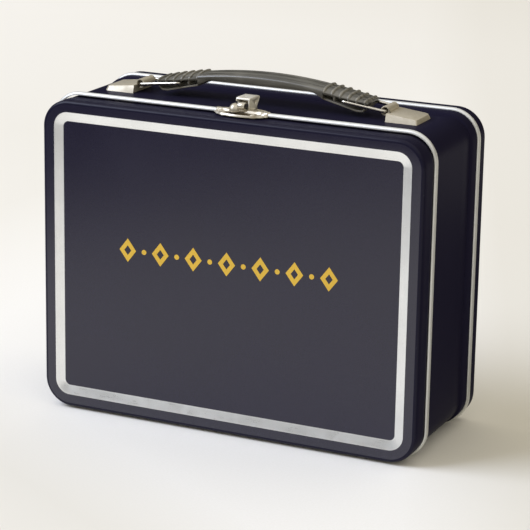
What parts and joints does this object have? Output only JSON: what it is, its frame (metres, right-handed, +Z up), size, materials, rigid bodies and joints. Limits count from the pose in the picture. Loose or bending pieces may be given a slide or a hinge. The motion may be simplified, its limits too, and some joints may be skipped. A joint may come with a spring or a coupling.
{
  "type": "metal lunch box",
  "caption": "Upright sheet-metal lunch box with a hinged front cover, recessed printed panel, top latch and a grip on wire bails.",
  "frame": {"origin": "middle of the footprint, on the surface the box stands on", "axes": "+X across the width, -Y out of the printed front cover, +Z up"},
  "size_m": [0.2042, 0.08, 0.174],
  "materials": {
    "navy_paint": "satin navy-black print",
    "printed_panel": "satin navy print, slightly paler",
    "bare_tinplate": "bright tinplate",
    "nickel_plate": "warm nickel plate",
    "bright_wire": "bright wire",
    "grey_plastic": "dark grey moulding, slightly glossy"
  },
  "bodies": {
    "case": {"case_band": "navy_paint", "case_back": "navy_paint", "case_back_panel": "navy_paint", "case_back_seam": "bare_tinplate", "hinge_leaf_case_left": "nickel_plate", "hinge_leaf_case_right": "nickel_plate", "hinge_pin_left": "nickel_plate", "hinge_pin_right": "nickel_plate", "hinge_rivets_case": "nickel_plate", "latch_base": "nickel_plate", "latch_ears": "nickel_plate", "latch_pin": "nickel_plate", "latch_rivets_case": "nickel_plate", "handle_bracket_left": "nickel_plate", "handle_bracket_right": "nickel_plate"},
    "cover": {"cover_shell": "navy_paint", "cover_ring": "bare_tinplate", "cover_panel": "printed_panel", "cover_hem": "bare_tinplate", "hinge_leaf_cover_left": "nickel_plate", "hinge_leaf_cover_right": "nickel_plate", "hinge_rivets_cover": "nickel_plate", "latch_catch": "nickel_plate", "latch_nose": "nickel_plate", "latch_rivets_cover": "nickel_plate"},
    "hasp": {"latch_hasp": "nickel_plate"},
    "handle": {"handle_grip": "grey_plastic"},
    "wire_left": {"handle_wire_left": "bright_wire"},
    "wire_right": {"handle_wire_right": "bright_wire"}
  },
  "joints": [
    {"name": "cover_hinge", "type": "hinge", "parent": "case", "child": "cover", "pos_m": [0, -0.0228, 0.0021], "axis": [1, 0, 0], "range_deg": [0, 130]},
    {"name": "hasp_hinge", "type": "hinge", "parent": "case", "child": "hasp", "pos_m": [0.0012, -0.0196, 0.1643], "axis": [-1, 0, 0], "range_deg": [0, 50]},
    {"name": "handle_lift", "type": "slide", "parent": "case", "child": "handle", "axis": [0, 0, 1], "range_m": [0, 0.012]},
    {"name": "wire_left_hinge", "type": "hinge", "parent": "case", "child": "wire_left", "pos_m": [-0.06585, 0.003, 0.1633], "axis": [0, -1, 0], "range_deg": [0, 33.5]},
    {"name": "wire_right_hinge", "type": "hinge", "parent": "case", "child": "wire_right", "pos_m": [0.06585, 0.003, 0.1633], "axis": [0, 1, 0], "range_deg": [0, 33.5]}
  ],
  "couplings": [
    {"joint": "wire_left_hinge", "follows": "handle_lift", "rad_per_m": 47.997},
    {"joint": "wire_right_hinge", "follows": "handle_lift", "rad_per_m": 47.997}
  ]
}
